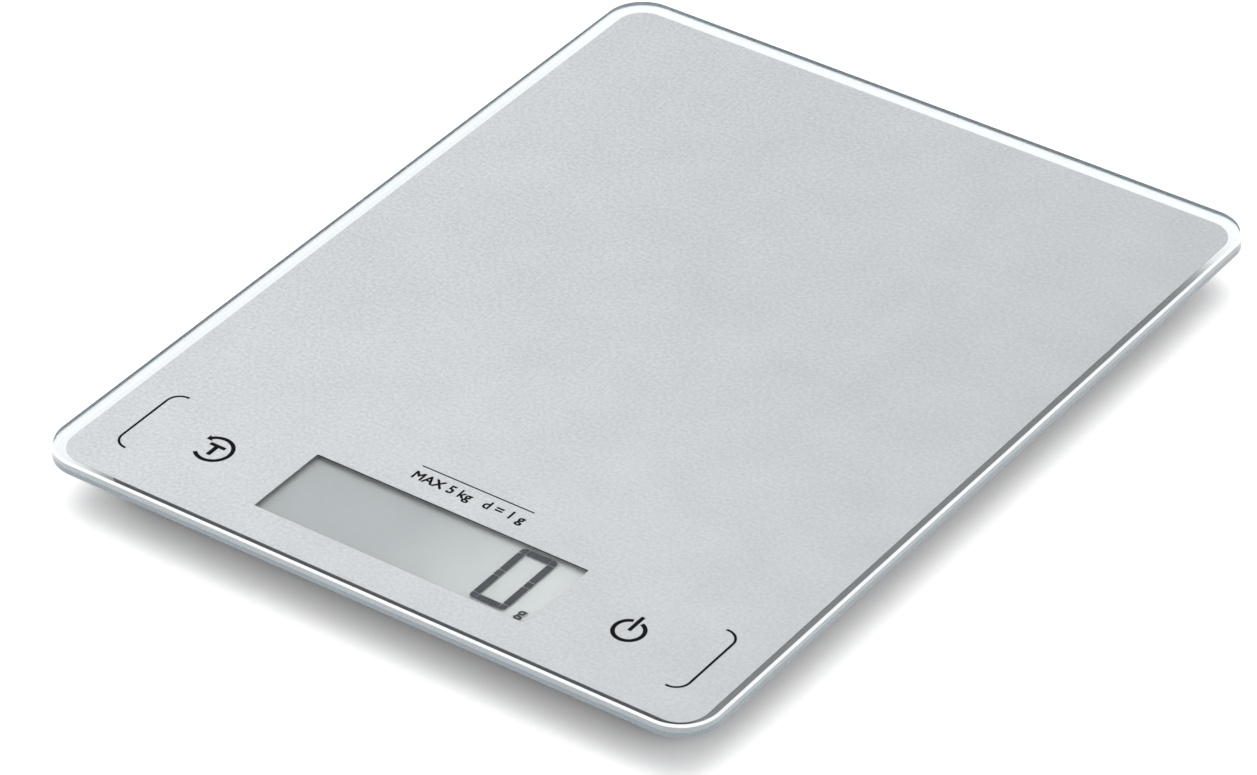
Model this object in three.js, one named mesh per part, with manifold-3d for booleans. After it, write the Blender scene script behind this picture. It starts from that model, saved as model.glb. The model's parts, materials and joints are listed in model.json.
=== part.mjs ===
// A slim digital kitchen scale: a back-printed glass platform bonded to a shallow plastic tray that
// holds the display, the circuit board, four load cells, the coin cell and the feet.
// Millimetres, +Z up, X along the front edge, the display at -Y, origin on the table under the middle.

import * as THREE from "three";
import { mergeVertices } from "three/addons/utils/BufferGeometryUtils.js";
import Module from "manifold-3d";

const wasm = await Module();
wasm.setup();

// ---------------------------------------------------------------- driving dimensions

const HAIRLINE = 0.02;                 // gap left between faces that touch
const CLEARANCE = 0.4;                 // gap around loose fits
const OVERLAP = 0.5;                   // how far joined bodies run into each other
const OVERCUT = 1;                     // how far a cut runs past the face it opens

const GLASS_WIDTH = 210;
const GLASS_LENGTH = 270;
const GLASS_THICKNESS = 4;
const GLASS_CORNER = 12;
const GLASS_CHAMFER = 0.55;

const PRINT_BORDER = 3.85;             // clear glass left outside the silver print
const PRINT_THICKNESS = 0.12;
const WINDOW_WIDTH = 87;               // display window in the print
const WINDOW_DEPTH = 26.8;
const WINDOW_SETBACK = 15.2;           // front edge of the glass to the front of the window

const GROUND_CLEARANCE = 3;            // table to the underside of the tray
const TRAY_HEIGHT = 10.32;
const TRAY_INSET = 11.5;               // edge of the glass to the wall of the tray
const TRAY_CORNER = 10;
const TRAY_WALL = 1.6;
const TRAY_FLOOR = 1.6;
const TRAY_CHAMFER = 0.5;
const FLANGE_WIDTH = 3.5;              // rim that stands out around the top of the tray
const FLANGE_THICKNESS = 1.5;
const TAPE_WIDTH = 4;
const TAPE_THICKNESS = 0.5;
const TAPE_SETBACK = 0.5;              // edge of the tray's rim to the tape

const LCD_MARGIN = 1.1;                // display glass hidden beyond the window, front and back
const LCD_SIDE_MARGIN = 1.5;
const LCD_SHEET = 0.7;
const LCD_LEDGE = 3.7;                 // front sheet that overhangs the rear one, over its contacts
const LCD_DROP = 0.12;                 // top of the tray to the top of the display
const REFLECTOR_THICKNESS = 0.2;
const HOLDER_SIDE_WALL = 1.8;
const HOLDER_WALL = 0.5;
const HOLDER_LEDGE = 2.5;              // shelf the display rests on
const ZEBRA_WIDTH = 2.2;

const BOARD_LIFT = 1.8;                // tray floor to the underside of the board
const BOARD_THICKNESS = 1.6;
const BOARD_SIDE = 9;                  // board beyond the display holder, left and right
const BOARD_TAIL = 17;                 // board behind the display holder
const BOARD_CORNER = 1.5;
const BLOB_RADIUS = 5;
const BLOB_HEIGHT = 1.2;
const CHIP_SIZE = [8, 5, 1.3];

const KEY_OFFSET = 66.7;               // middle of each touch key, left and right of the middle
const KEY_PAD = 16;
const KEY_TAIL = 4;
const FOIL_THICKNESS = 0.1;
const SPRING_RADIUS = 1.9;
const SPRING_WIRE = 0.25;
const SPRING_TURNS = 5;
const SPRING_GAP = 0.1;

const FOOT_INSET = 20;                 // wall of the tray to the middle of a foot
const FOOT_RADIUS = 9;
const FOOT_FLANGE = 1.2;
const FOOT_FLANGE_THICKNESS = 1;
const FOOT_TRAVEL = 0.4;
const PAD_THICKNESS = 1.5;
const PAD_PROUD = 0.8;                 // rubber that shows below the cup
const CUP_RIM = 1.4;
const CUP_EDGE = 0.5;
const PAD_EDGE = 0.3;
const PAD_FIT = 0.1;                   // gap between the pad and the cup's rim
const BUTTON_RADIUS = 3;
const BUTTON_HEIGHT = 1.8;
const BUTTON_GAP = 0.1;                // button to the load cell when the foot is fully in

const CELL_THICKNESS = 1.4;
const CELL_CORNER = 3;
const CELL_REST = 1.8;                 // edge of the load cell that rests on its seat
const TONGUE_WIDTH = 9;
const SLOT_WIDTH = 1.6;
const SEAT_WALL = 1.6;
const CLAMP_THICKNESS = 1.6;
const CLAMP_RIM = 5.4;
const CLAMP_CORNER = 4;
const CLAMP_OPENING_CORNER = 2;
const CLAMP_SCREW_SETBACK = 0.8;       // corner of the load cell to the middle of a clamp screw
const CLAMP_EDGE = 0.1;                // clamp beyond its screw bosses

const SCREW_SHANK = 0.8;
const SCREW_HEAD = 1.9;
const SCREW_HEAD_HEIGHT = 1.1;
const SCREW_LENGTH = 3.1;
const SCREW_POINT = 0.6;
const PILOT_CLEARANCE = 0.2;
const BOSS_RADIUS = 2;

const COIN_RADIUS = 10;
const COIN_HEIGHT = 3.2;
const COIN_EDGE = 0.3;
const COIN_LIFT = 0.8;                 // door to the coin cell
const COIN_STEP = 0.6;                 // height of the coin cell's narrower cap
const COIN_CAP_INSET = 1.2;
const COIN_WALL = 1.2;
const DOOR_MARGIN = 3.5;               // door beyond the coin cell on every side
const DOOR_THICKNESS = 1.4;
const DOOR_CORNER = 1.5;
const HOOK_WIDTH = 5;
const HOOK_REACH = 1.6;
const HOOK_THICKNESS = 1;
const CONTACT_THICKNESS = 0.3;
const CONTACT_WIDTH = 5;
const CONTACT_GAP = 0.2;
const TAB_HEIGHT = 1.8;                // solder tab above the battery well
const BATTERY_SPACING = 6;             // circuit board to the battery well

const LEAD_RADIUS = 0.7;
const LEAD_LIFT = 0.3;                 // gap under a lead
const LEAD_STEP = 6;                   // length of one straight step along a lead
const RIB_THICKNESS = 1.2;
const RIB_HEIGHT = 1.8;
const LABEL_SIZE = [44, 26, 0.15];
const LABEL_CORNER = 1.5;

const ROUND = 28;                      // sides of a round piece
const SMALL_ROUND = 12;                // sides of a screw, a boss and its hole
const CORNER_STEPS = 8;                // half the facets in a rounded corner

// ---------------------------------------------------------------- levels and places

const FLOOR_BOTTOM = GROUND_CLEARANCE;
const FLOOR_TOP = FLOOR_BOTTOM + TRAY_FLOOR;
const TRAY_TOP = FLOOR_BOTTOM + TRAY_HEIGHT;
const PRINT_BOTTOM = TRAY_TOP + HAIRLINE + TAPE_THICKNESS + HAIRLINE;
const GLASS_BOTTOM = PRINT_BOTTOM + PRINT_THICKNESS + HAIRLINE;
const FOIL_BOTTOM = PRINT_BOTTOM - HAIRLINE - FOIL_THICKNESS;

const FRONT = -GLASS_LENGTH / 2;
const TRAY_WIDTH = GLASS_WIDTH - 2 * TRAY_INSET;
const TRAY_LENGTH = GLASS_LENGTH - 2 * TRAY_INSET;

const WINDOW_MIDDLE = FRONT + WINDOW_SETBACK + WINDOW_DEPTH / 2;
const LCD_WIDTH = WINDOW_WIDTH + 2 * LCD_SIDE_MARGIN;
const LCD_DEPTH = WINDOW_DEPTH + 2 * LCD_MARGIN + LCD_LEDGE;
const LCD_BACK = WINDOW_MIDDLE + WINDOW_DEPTH / 2 + LCD_MARGIN + LCD_LEDGE;
const LCD_TOP = TRAY_TOP - LCD_DROP;
const FRONT_SHEET_BOTTOM = LCD_TOP - LCD_SHEET;
const REAR_SHEET_TOP = FRONT_SHEET_BOTTOM - HAIRLINE;
const REAR_SHEET_BOTTOM = REAR_SHEET_TOP - LCD_SHEET;
const REFLECTOR_BOTTOM = REAR_SHEET_BOTTOM - HAIRLINE - REFLECTOR_THICKNESS;

const POCKET_GAP = CLEARANCE / 2;
const HOLDER_HALF = LCD_WIDTH / 2 + POCKET_GAP + HOLDER_SIDE_WALL;
const HOLDER_FRONT = LCD_BACK - LCD_DEPTH - POCKET_GAP - HOLDER_WALL;
const HOLDER_BACK = LCD_BACK + POCKET_GAP + HOLDER_WALL;
const ZEBRA_MIDDLE = LCD_BACK - LCD_LEDGE / 2;

const BOARD_BOTTOM = FLOOR_TOP + BOARD_LIFT;
const BOARD_TOP = BOARD_BOTTOM + BOARD_THICKNESS;
const BOARD_HALF = HOLDER_HALF + BOARD_SIDE;
const BOARD_FRONT = HOLDER_FRONT;
const BOARD_BACK = HOLDER_BACK + BOARD_TAIL;
const SIDE_STRIP = (HOLDER_HALF + BOARD_HALF) / 2;
const TAIL_STRIP = (HOLDER_BACK + BOARD_BACK) / 2;
const BOARD_SCREWS = [-1, 1].flatMap((side) =>
  [BOARD_FRONT + 2 * SCREW_HEAD, BOARD_BACK - 2 * SCREW_HEAD].map((y) => [side * SIDE_STRIP, y]));

const FOOT_X = TRAY_WIDTH / 2 - FOOT_INSET;
const FOOT_Y = TRAY_LENGTH / 2 - FOOT_INSET;
const CORNERS = [
  ["front_left", -1, -1], ["front_right", 1, -1], ["rear_left", -1, 1], ["rear_right", 1, 1],
];
const CUP_FLANGE_BOTTOM = FLOOR_TOP + CLEARANCE;
const CUP_FLANGE_TOP = CUP_FLANGE_BOTTOM + FOOT_FLANGE_THICKNESS;
const BUTTON_TOP = CUP_FLANGE_TOP + BUTTON_HEIGHT;
const CELL_BOTTOM = BUTTON_TOP + FOOT_TRAVEL + BUTTON_GAP;
const CELL_TOP = CELL_BOTTOM + CELL_THICKNESS;
const SEAT_TOP = CELL_BOTTOM - HAIRLINE;
const SEAT_INNER = FOOT_RADIUS + FOOT_FLANGE + CLEARANCE;
const CELL_HALF = SEAT_INNER + CELL_REST;
const CLAMP_BOTTOM = CELL_TOP + HAIRLINE;
const CLAMP_TOP = CLAMP_BOTTOM + CLAMP_THICKNESS;
const CLAMP_SCREW = CELL_HALF + CLAMP_SCREW_SETBACK;
const CLAMP_HALF = CLAMP_SCREW + BOSS_RADIUS + CLAMP_EDGE;

const DOOR_HALF = COIN_RADIUS + DOOR_MARGIN;
const DOOR_TOP = FLOOR_BOTTOM + DOOR_THICKNESS;
const COIN_BOTTOM = DOOR_TOP + COIN_LIFT;
const COIN_TOP = COIN_BOTTOM + COIN_HEIGHT;
const WELL_CEILING = COIN_TOP + 2 * CONTACT_GAP + CONTACT_THICKNESS;
const WELL_TOP = WELL_CEILING + COIN_WALL;
const WELL_HALF = DOOR_HALF + HOOK_REACH + 2 * CLEARANCE + COIN_WALL;
const BATTERY_Y = BOARD_BACK + BATTERY_SPACING + WELL_HALF;
const RING_INNER = COIN_RADIUS + CLEARANCE;
const CONTACT_TOP = WELL_TOP + TAB_HEIGHT;

// ---------------------------------------------------------------- helpers

/** A rounded rectangle centred on (x, y). */
function roundedOutline(width, length, radius, x = 0, y = 0, Kind = THREE.Shape) {
  const outline = new Kind();
  const halfX = width / 2 - radius;
  const halfY = length / 2 - radius;
  const quarter = Math.PI / 2;
  outline.absarc(x + halfX, y - halfY, radius, -quarter, 0);
  outline.absarc(x + halfX, y + halfY, radius, 0, quarter);
  outline.absarc(x - halfX, y + halfY, radius, quarter, 2 * quarter);
  outline.absarc(x - halfX, y - halfY, radius, 2 * quarter, 3 * quarter);
  outline.closePath();
  return outline;
}

/** An outline raised from one level to another. */
function raised(outline, bottom, top) {
  const depth = top - bottom;
  return new THREE.ExtrudeGeometry(outline, { depth, bevelEnabled: false, curveSegments: CORNER_STEPS })
    .translate(0, 0, bottom);
}

/** A rounded plate whose top and bottom edges are chamfered. */
function chamferedPlate(width, length, radius, bottom, top, chamfer) {
  return new THREE.ExtrudeGeometry(roundedOutline(width, length, radius), {
    depth: top - bottom - 2 * chamfer,
    bevelThickness: chamfer,
    bevelSize: chamfer,
    bevelOffset: -chamfer,
    bevelSegments: 1,
    curveSegments: CORNER_STEPS,
  }).translate(0, 0, bottom + chamfer);
}

function roundedPlate(width, length, radius, bottom, top, x = 0, y = 0) {
  return raised(roundedOutline(width, length, radius, x, y), bottom, top);
}

function block(x0, x1, y0, y1, bottom, top) {
  return new THREE.BoxGeometry(x1 - x0, y1 - y0, top - bottom)
    .translate((x0 + x1) / 2, (y0 + y1) / 2, (bottom + top) / 2);
}

function disc(x, y, radius, bottom, top, sides = ROUND) {
  return new THREE.CylinderGeometry(radius, radius, top - bottom, sides)
    .rotateX(Math.PI / 2)
    .translate(x, y, (bottom + top) / 2);
}

/** A profile of [radius, level] pairs turned about a vertical axis at (x, y). */
function turned(profile, x = 0, y = 0, sides = ROUND) {
  const points = profile.map(([radius, level]) => new THREE.Vector2(radius, level));
  return new THREE.LatheGeometry(points, sides).rotateX(Math.PI / 2).translate(x, y, 0);
}

/** A round wire along a smooth curve. */
function wire(curve, radius, steps, sides) {
  const section = new THREE.Shape();
  section.absarc(0, 0, radius, 0, 2 * Math.PI);
  return new THREE.ExtrudeGeometry(section, { extrudePath: curve, steps, curveSegments: sides });
}

/** A closed geometry as a solid that can be joined and cut. */
function solid(geometry) {
  const bare = geometry.clone();
  bare.deleteAttribute("normal");
  bare.deleteAttribute("uv");
  const merged = mergeVertices(bare, 1e-5);
  return new wasm.Manifold(new wasm.Mesh({
    numProp: 3,
    vertProperties: new Float32Array(merged.attributes.position.array),
    triVerts: new Uint32Array(merged.index.array),
  }));
}

/** The first geometry with some joined on and then others cut away. */
function carved(first, { add = [], cut = [] }) {
  let body = solid(first);
  for (const piece of add) body = body.add(solid(piece));
  for (const piece of cut) body = body.subtract(solid(piece));
  const mesh = body.getMesh();
  const geometry = new THREE.BufferGeometry();
  geometry.setAttribute("position", new THREE.BufferAttribute(new Float32Array(mesh.vertProperties), 3));
  geometry.setIndex(new THREE.BufferAttribute(new Uint32Array(mesh.triVerts), 1));
  geometry.computeVertexNormals();
  return geometry;
}

const FINISHES = {
  clearGlass: [0xdfeeea, 0.03, 0],
  silverInk: [0xc9cdd0, 0.35, 0.6],
  foam: [0x2b2c2e, 0.9, 0],
  trayPlastic: [0x4d5052, 0.55, 0],
  displayGlass: [0xb9c2bd, 0.1, 0],
  reflector: [0xc3c9c2, 0.4, 0.3],
  holderPlastic: [0xe4e4e0, 0.5, 0],
  zebra: [0x8f8f96, 0.7, 0],
  boardGreen: [0x1d5b38, 0.45, 0],
  epoxy: [0x0e0e10, 0.35, 0],
  copper: [0xb87446, 0.35, 1],
  springSteel: [0xb5b8ba, 0.3, 1],
  screwSteel: [0xa6a9ab, 0.35, 1],
  rubber: [0x2a2b2c, 0.85, 0],
  cupPlastic: [0x3a3c3e, 0.5, 0],
  cellAlloy: [0xb9bcbf, 0.35, 1],
  clampPlastic: [0xdcdcd8, 0.5, 0],
  doorPlastic: [0x4d5052, 0.5, 0],
  coinSteel: [0xc7c9cb, 0.25, 1],
  redWire: [0x9c2a22, 0.5, 0],
  blackWire: [0x1b1b1c, 0.5, 0],
  whiteWire: [0xd9d9d6, 0.5, 0],
  labelFilm: [0xd8dadb, 0.5, 0.2],
};

const scale = new THREE.Group();

function piece(name, geometry, finish) {
  const [color, roughness, metalness] = FINISHES[finish];
  const mesh = new THREE.Mesh(geometry, new THREE.MeshStandardMaterial({ color, roughness, metalness }));
  mesh.name = name;
  scale.add(mesh);
}

// ---------------------------------------------------------------- platform

function glassPlate() {
  return chamferedPlate(GLASS_WIDTH, GLASS_LENGTH, GLASS_CORNER,
    GLASS_BOTTOM, GLASS_BOTTOM + GLASS_THICKNESS, GLASS_CHAMFER);
}

/** The silver ink under the glass, open over the display. */
function backPrint() {
  const outline = roundedOutline(GLASS_WIDTH - 2 * PRINT_BORDER, GLASS_LENGTH - 2 * PRINT_BORDER,
    GLASS_CORNER - PRINT_BORDER);
  outline.holes.push(roundedOutline(WINDOW_WIDTH, WINDOW_DEPTH, CLEARANCE, 0, WINDOW_MIDDLE, THREE.Path));
  return raised(outline, PRINT_BOTTOM, PRINT_BOTTOM + PRINT_THICKNESS);
}

/** Foam tape in a ring on the tray's rim: it bonds the tray to the glass. */
function foamTape() {
  const outerX = TRAY_WIDTH + 2 * (FLANGE_WIDTH - TAPE_SETBACK);
  const outerY = TRAY_LENGTH + 2 * (FLANGE_WIDTH - TAPE_SETBACK);
  const corner = TRAY_CORNER + FLANGE_WIDTH - TAPE_SETBACK;
  const outline = roundedOutline(outerX, outerY, corner);
  outline.holes.push(roundedOutline(outerX - 2 * TAPE_WIDTH, outerY - 2 * TAPE_WIDTH,
    corner - TAPE_WIDTH, 0, 0, THREE.Path));
  return raised(outline, TRAY_TOP + HAIRLINE, TRAY_TOP + HAIRLINE + TAPE_THICKNESS);
}

// ---------------------------------------------------------------- tray

function boss(x, y, top) {
  return disc(x, y, BOSS_RADIUS, FLOOR_TOP - OVERLAP, top, SMALL_ROUND);
}

/** The blind hole for a screw whose head sits at the given level. */
function pilotHole(x, y, headLevel, top) {
  const end = headLevel - SCREW_LENGTH - PILOT_CLEARANCE;
  return disc(x, y, SCREW_SHANK + PILOT_CLEARANCE, end, top + OVERCUT, SMALL_ROUND);
}

function clampScrews(sideX, sideY) {
  const x = sideX * FOOT_X;
  const y = sideY * FOOT_Y;
  return [-1, 1].map((end) => [x + end * sideX * CLAMP_SCREW, y - end * sideY * CLAMP_SCREW]);
}

/** The square wall that carries a load cell, with the hole its foot stands through. */
function footStation(sideX, sideY) {
  const x = sideX * FOOT_X;
  const y = sideY * FOOT_Y;
  const outer = 2 * (SEAT_INNER + SEAT_WALL);
  const inner = 2 * SEAT_INNER;
  const wall = roundedOutline(outer, outer, CELL_CORNER, x, y);
  wall.holes.push(roundedOutline(inner, inner, CELL_CORNER - SEAT_WALL, x, y, THREE.Path));
  const screws = clampScrews(sideX, sideY);
  return {
    add: [raised(wall, FLOOR_TOP - OVERLAP, SEAT_TOP), ...screws.map(([sx, sy]) => boss(sx, sy, CELL_TOP))],
    cut: [
      disc(x, y, FOOT_RADIUS + CLEARANCE, FLOOR_BOTTOM - OVERCUT, FLOOR_TOP + OVERCUT),
      ...screws.map(([sx, sy]) => pilotHole(sx, sy, CLAMP_TOP, CELL_TOP)),
    ],
  };
}

/** The battery well: four walls and a ceiling over the door's opening, with a ring for the coin cell. */
function batteryWell() {
  const y = BATTERY_Y;
  const inner = WELL_HALF - COIN_WALL;
  const opening = 2 * (DOOR_HALF + CLEARANCE);
  const slot = CONTACT_WIDTH / 2 + CLEARANCE;
  return {
    add: [block(-WELL_HALF, WELL_HALF, y - WELL_HALF, y + WELL_HALF, FLOOR_TOP - OVERLAP, WELL_TOP)],
    cut: [block(-inner, inner, y - inner, y + inner, FLOOR_TOP, WELL_CEILING)],
    ring: [disc(0, y, RING_INNER + COIN_WALL, FLOOR_TOP + CLEARANCE, WELL_CEILING + OVERLAP)],
    after: [
      disc(0, y, RING_INNER, FLOOR_BOTTOM - OVERCUT, WELL_CEILING),
      roundedPlate(opening, opening, DOOR_CORNER, FLOOR_BOTTOM - OVERCUT, FLOOR_TOP, 0, y),
      block(-slot, slot, y - inner, y - COIN_RADIUS / 2, COIN_TOP, WELL_CEILING),
      block(-slot, slot, y - inner, y - inner + 3 * CLEARANCE, COIN_TOP, WELL_TOP + OVERCUT),
      block(COIN_RADIUS - OVERCUT, RING_INNER + COIN_WALL + OVERCUT, y - slot, y + slot,
        FLOOR_TOP, WELL_TOP + OVERCUT),
    ],
  };
}

/** Low ribs across the floor behind the battery well. */
function floorRibs() {
  const start = BATTERY_Y + WELL_HALF + BATTERY_SPACING;
  const end = TRAY_LENGTH / 2 - TRAY_WALL;
  const half = FOOT_X - CLAMP_HALF - 2;
  const top = FLOOR_TOP + RIB_HEIGHT;
  const bottom = FLOOR_TOP - OVERLAP;
  const across = [0.2, 0.5, 0.8].map((share) => start + share * (end - start));
  return [
    ...across.map((y) => block(-half, half, y - RIB_THICKNESS / 2, y + RIB_THICKNESS / 2, bottom, top)),
    ...[-1, 0, 1].map((side) => side * half * 0.6)
      .map((x) => block(x - RIB_THICKNESS / 2, x + RIB_THICKNESS / 2, start, end + OVERLAP, bottom, top)),
  ];
}

function baseTray() {
  const shell = chamferedPlate(TRAY_WIDTH, TRAY_LENGTH, TRAY_CORNER, FLOOR_BOTTOM, TRAY_TOP, TRAY_CHAMFER);
  const flange = roundedPlate(TRAY_WIDTH + 2 * FLANGE_WIDTH, TRAY_LENGTH + 2 * FLANGE_WIDTH,
    TRAY_CORNER + FLANGE_WIDTH, TRAY_TOP - FLANGE_THICKNESS, TRAY_TOP);
  const cavity = roundedPlate(TRAY_WIDTH - 2 * TRAY_WALL, TRAY_LENGTH - 2 * TRAY_WALL,
    TRAY_CORNER - TRAY_WALL, FLOOR_TOP, TRAY_TOP + OVERCUT);
  const stations = CORNERS.map(([, sideX, sideY]) => footStation(sideX, sideY));
  const well = batteryWell();
  const boardBosses = BOARD_SCREWS.map(([x, y]) => boss(x, y, BOARD_BOTTOM - HAIRLINE));
  const boardHoles = BOARD_SCREWS.map(([x, y]) => pilotHole(x, y, BOARD_TOP, BOARD_BOTTOM));
  const open = carved(shell, { add: [flange], cut: [cavity] });
  const fitted = carved(open, {
    add: [...stations.flatMap((station) => station.add), ...floorRibs(), ...boardBosses, ...well.add],
    cut: [...well.cut],
  });
  return carved(fitted, {
    add: well.ring,
    cut: [...well.after, ...boardHoles, ...stations.flatMap((station) => station.cut)],
  });
}

function ratingLabel() {
  const [width, depth, thickness] = LABEL_SIZE;
  const middle = (BATTERY_Y + WELL_HALF + TRAY_LENGTH / 2) / 2;
  const top = FLOOR_BOTTOM - HAIRLINE;
  return roundedPlate(width, depth, LABEL_CORNER, top - thickness, top, 0, middle);
}

// ---------------------------------------------------------------- display

function lcdFrontSheet() {
  return block(-LCD_WIDTH / 2, LCD_WIDTH / 2, LCD_BACK - LCD_DEPTH, LCD_BACK, FRONT_SHEET_BOTTOM, LCD_TOP);
}

function lcdRearSheet(bottom, top) {
  return block(-LCD_WIDTH / 2, LCD_WIDTH / 2, LCD_BACK - LCD_DEPTH, LCD_BACK - LCD_LEDGE, bottom, top);
}

/** The conductive rubber strip between the display's contacts and the board. */
function zebraStrip() {
  const half = WINDOW_WIDTH / 2;
  return block(-half, half, ZEBRA_MIDDLE - ZEBRA_WIDTH / 2, ZEBRA_MIDDLE + ZEBRA_WIDTH / 2,
    BOARD_TOP + HAIRLINE, FRONT_SHEET_BOTTOM - HAIRLINE);
}

/** The frame that stands on the board and holds the display up to the window. */
function lcdHolder() {
  const bottom = BOARD_TOP + HAIRLINE;
  const halfX = LCD_WIDTH / 2 + POCKET_GAP;
  const shelf = REFLECTOR_BOTTOM - HAIRLINE;
  const slotHalf = WINDOW_WIDTH / 2 + POCKET_GAP;
  const slotY = ZEBRA_WIDTH / 2 + POCKET_GAP;
  return carved(block(-HOLDER_HALF, HOLDER_HALF, HOLDER_FRONT, HOLDER_BACK, bottom, LCD_TOP), {
    cut: [
      block(-halfX, halfX, HOLDER_FRONT + HOLDER_WALL, HOLDER_BACK - HOLDER_WALL, shelf, LCD_TOP + OVERCUT),
      block(-halfX + HOLDER_LEDGE, halfX - HOLDER_LEDGE, HOLDER_FRONT + HOLDER_LEDGE,
        LCD_BACK - LCD_LEDGE - HOLDER_WALL, bottom - OVERCUT, shelf + OVERCUT),
      block(-slotHalf, slotHalf, ZEBRA_MIDDLE - slotY, ZEBRA_MIDDLE + slotY,
        bottom - OVERCUT, shelf + OVERCUT),
    ],
  });
}

// ---------------------------------------------------------------- board and touch keys

function mainBoard() {
  const middle = (BOARD_FRONT + BOARD_BACK) / 2;
  const outline = roundedOutline(2 * BOARD_HALF, BOARD_BACK - BOARD_FRONT, BOARD_CORNER, 0, middle);
  for (const [x, y] of BOARD_SCREWS) {
    const hole = new THREE.Path();
    hole.absarc(x, y, SCREW_SHANK + CLEARANCE, 0, 2 * Math.PI);
    outline.holes.push(hole);
  }
  return raised(outline, BOARD_BOTTOM, BOARD_TOP);
}

/** The epoxy dome over the controller chip. */
function controllerBlob() {
  const bottom = BOARD_TOP + HAIRLINE;
  return turned([
    [0, bottom], [BLOB_RADIUS, bottom], [BLOB_RADIUS * 0.85, bottom + BLOB_HEIGHT * 0.6],
    [BLOB_RADIUS * 0.5, bottom + BLOB_HEIGHT], [0, bottom + BLOB_HEIGHT],
  ], -HOLDER_HALF / 2, TAIL_STRIP);
}

function converterChip() {
  const [width, depth, height] = CHIP_SIZE;
  const x = HOLDER_HALF / 2;
  const bottom = BOARD_TOP + HAIRLINE;
  return block(x - width / 2, x + width / 2, TAIL_STRIP - depth / 2, TAIL_STRIP + depth / 2,
    bottom, bottom + height);
}

/** The foil electrode under a touch key, with a tail that reaches in to its spring. */
function touchFoil(side) {
  const outer = KEY_OFFSET + KEY_PAD / 2;
  const pad = KEY_OFFSET - KEY_PAD / 2;
  const tail = SIDE_STRIP - KEY_TAIL / 2;
  const outline = new THREE.Shape();
  outline.moveTo(side * outer, WINDOW_MIDDLE - KEY_PAD / 2);
  outline.lineTo(side * outer, WINDOW_MIDDLE + KEY_PAD / 2);
  outline.lineTo(side * pad, WINDOW_MIDDLE + KEY_PAD / 2);
  outline.lineTo(side * pad, WINDOW_MIDDLE + KEY_TAIL / 2);
  outline.lineTo(side * tail, WINDOW_MIDDLE + KEY_TAIL / 2);
  outline.lineTo(side * tail, WINDOW_MIDDLE - KEY_TAIL / 2);
  outline.lineTo(side * pad, WINDOW_MIDDLE - KEY_TAIL / 2);
  outline.lineTo(side * pad, WINDOW_MIDDLE - KEY_PAD / 2);
  outline.closePath();
  return raised(outline, FOIL_BOTTOM, FOIL_BOTTOM + FOIL_THICKNESS);
}

class Helix extends THREE.Curve {
  constructor(x, y, radius, bottom, top, turns) {
    super();
    Object.assign(this, { x, y, radius, bottom, top, turns });
  }

  getPoint(t) {
    const angle = 2 * Math.PI * this.turns * t;
    return new THREE.Vector3(this.x + this.radius * Math.cos(angle), this.y + this.radius * Math.sin(angle),
      this.bottom + t * (this.top - this.bottom));
  }
}

/** The coil spring that joins a foil electrode to the board. */
function touchSpring(side) {
  const bottom = BOARD_TOP + SPRING_WIRE + SPRING_GAP;
  const top = FOIL_BOTTOM - SPRING_WIRE - SPRING_GAP;
  const helix = new Helix(side * SIDE_STRIP, WINDOW_MIDDLE, SPRING_RADIUS, bottom, top, SPRING_TURNS);
  return wire(helix, SPRING_WIRE, 10 * SPRING_TURNS, 2);
}

/** A pan-head screw that points down, with its head standing on the given level. */
function screw(x, y, level) {
  const seat = level + HAIRLINE;
  return turned([
    [0, seat - SCREW_LENGTH], [SCREW_SHANK * 0.5, seat - SCREW_LENGTH],
    [SCREW_SHANK, seat - SCREW_LENGTH + SCREW_POINT], [SCREW_SHANK, seat],
    [SCREW_HEAD, seat], [SCREW_HEAD, seat + SCREW_HEAD_HEIGHT * 0.6],
    [SCREW_HEAD * 0.7, seat + SCREW_HEAD_HEIGHT], [0, seat + SCREW_HEAD_HEIGHT],
  ], x, y, SMALL_ROUND);
}

// ---------------------------------------------------------------- load cells and feet

/** A steel plate whose middle tongue bends as its foot pushes up on it. */
function loadCell(x, y, sideY) {
  const outline = roundedOutline(2 * CELL_HALF, 2 * CELL_HALF, CELL_CORNER, x, y);
  const inner = TONGUE_WIDTH / 2;
  const outer = inner + SLOT_WIDTH;
  const tip = y - sideY * (inner + SLOT_WIDTH);
  const root = y + sideY * (CELL_HALF - CELL_REST - 1);
  const slot = new THREE.Path();
  slot.moveTo(x - outer, root);
  slot.lineTo(x - outer, tip - sideY * SLOT_WIDTH);
  slot.lineTo(x + outer, tip - sideY * SLOT_WIDTH);
  slot.lineTo(x + outer, root);
  slot.lineTo(x + inner, root);
  slot.lineTo(x + inner, tip);
  slot.lineTo(x - inner, tip);
  slot.lineTo(x - inner, root);
  slot.closePath();
  outline.holes.push(slot);
  return raised(outline, CELL_BOTTOM, CELL_TOP);
}

/** The plastic frame screwed down over the rim of a load cell. */
function cellClamp(sideX, sideY) {
  const x = sideX * FOOT_X;
  const y = sideY * FOOT_Y;
  const opening = 2 * (CLAMP_HALF - CLAMP_RIM);
  const outline = roundedOutline(2 * CLAMP_HALF, 2 * CLAMP_HALF, CLAMP_CORNER, x, y);
  outline.holes.push(roundedOutline(opening, opening, CLAMP_OPENING_CORNER, x, y, THREE.Path));
  for (const [sx, sy] of clampScrews(sideX, sideY)) {
    const hole = new THREE.Path();
    hole.absarc(sx, sy, SCREW_SHANK + CLEARANCE, 0, 2 * Math.PI);
    outline.holes.push(hole);
  }
  return raised(outline, CLAMP_BOTTOM, CLAMP_TOP);
}

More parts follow.
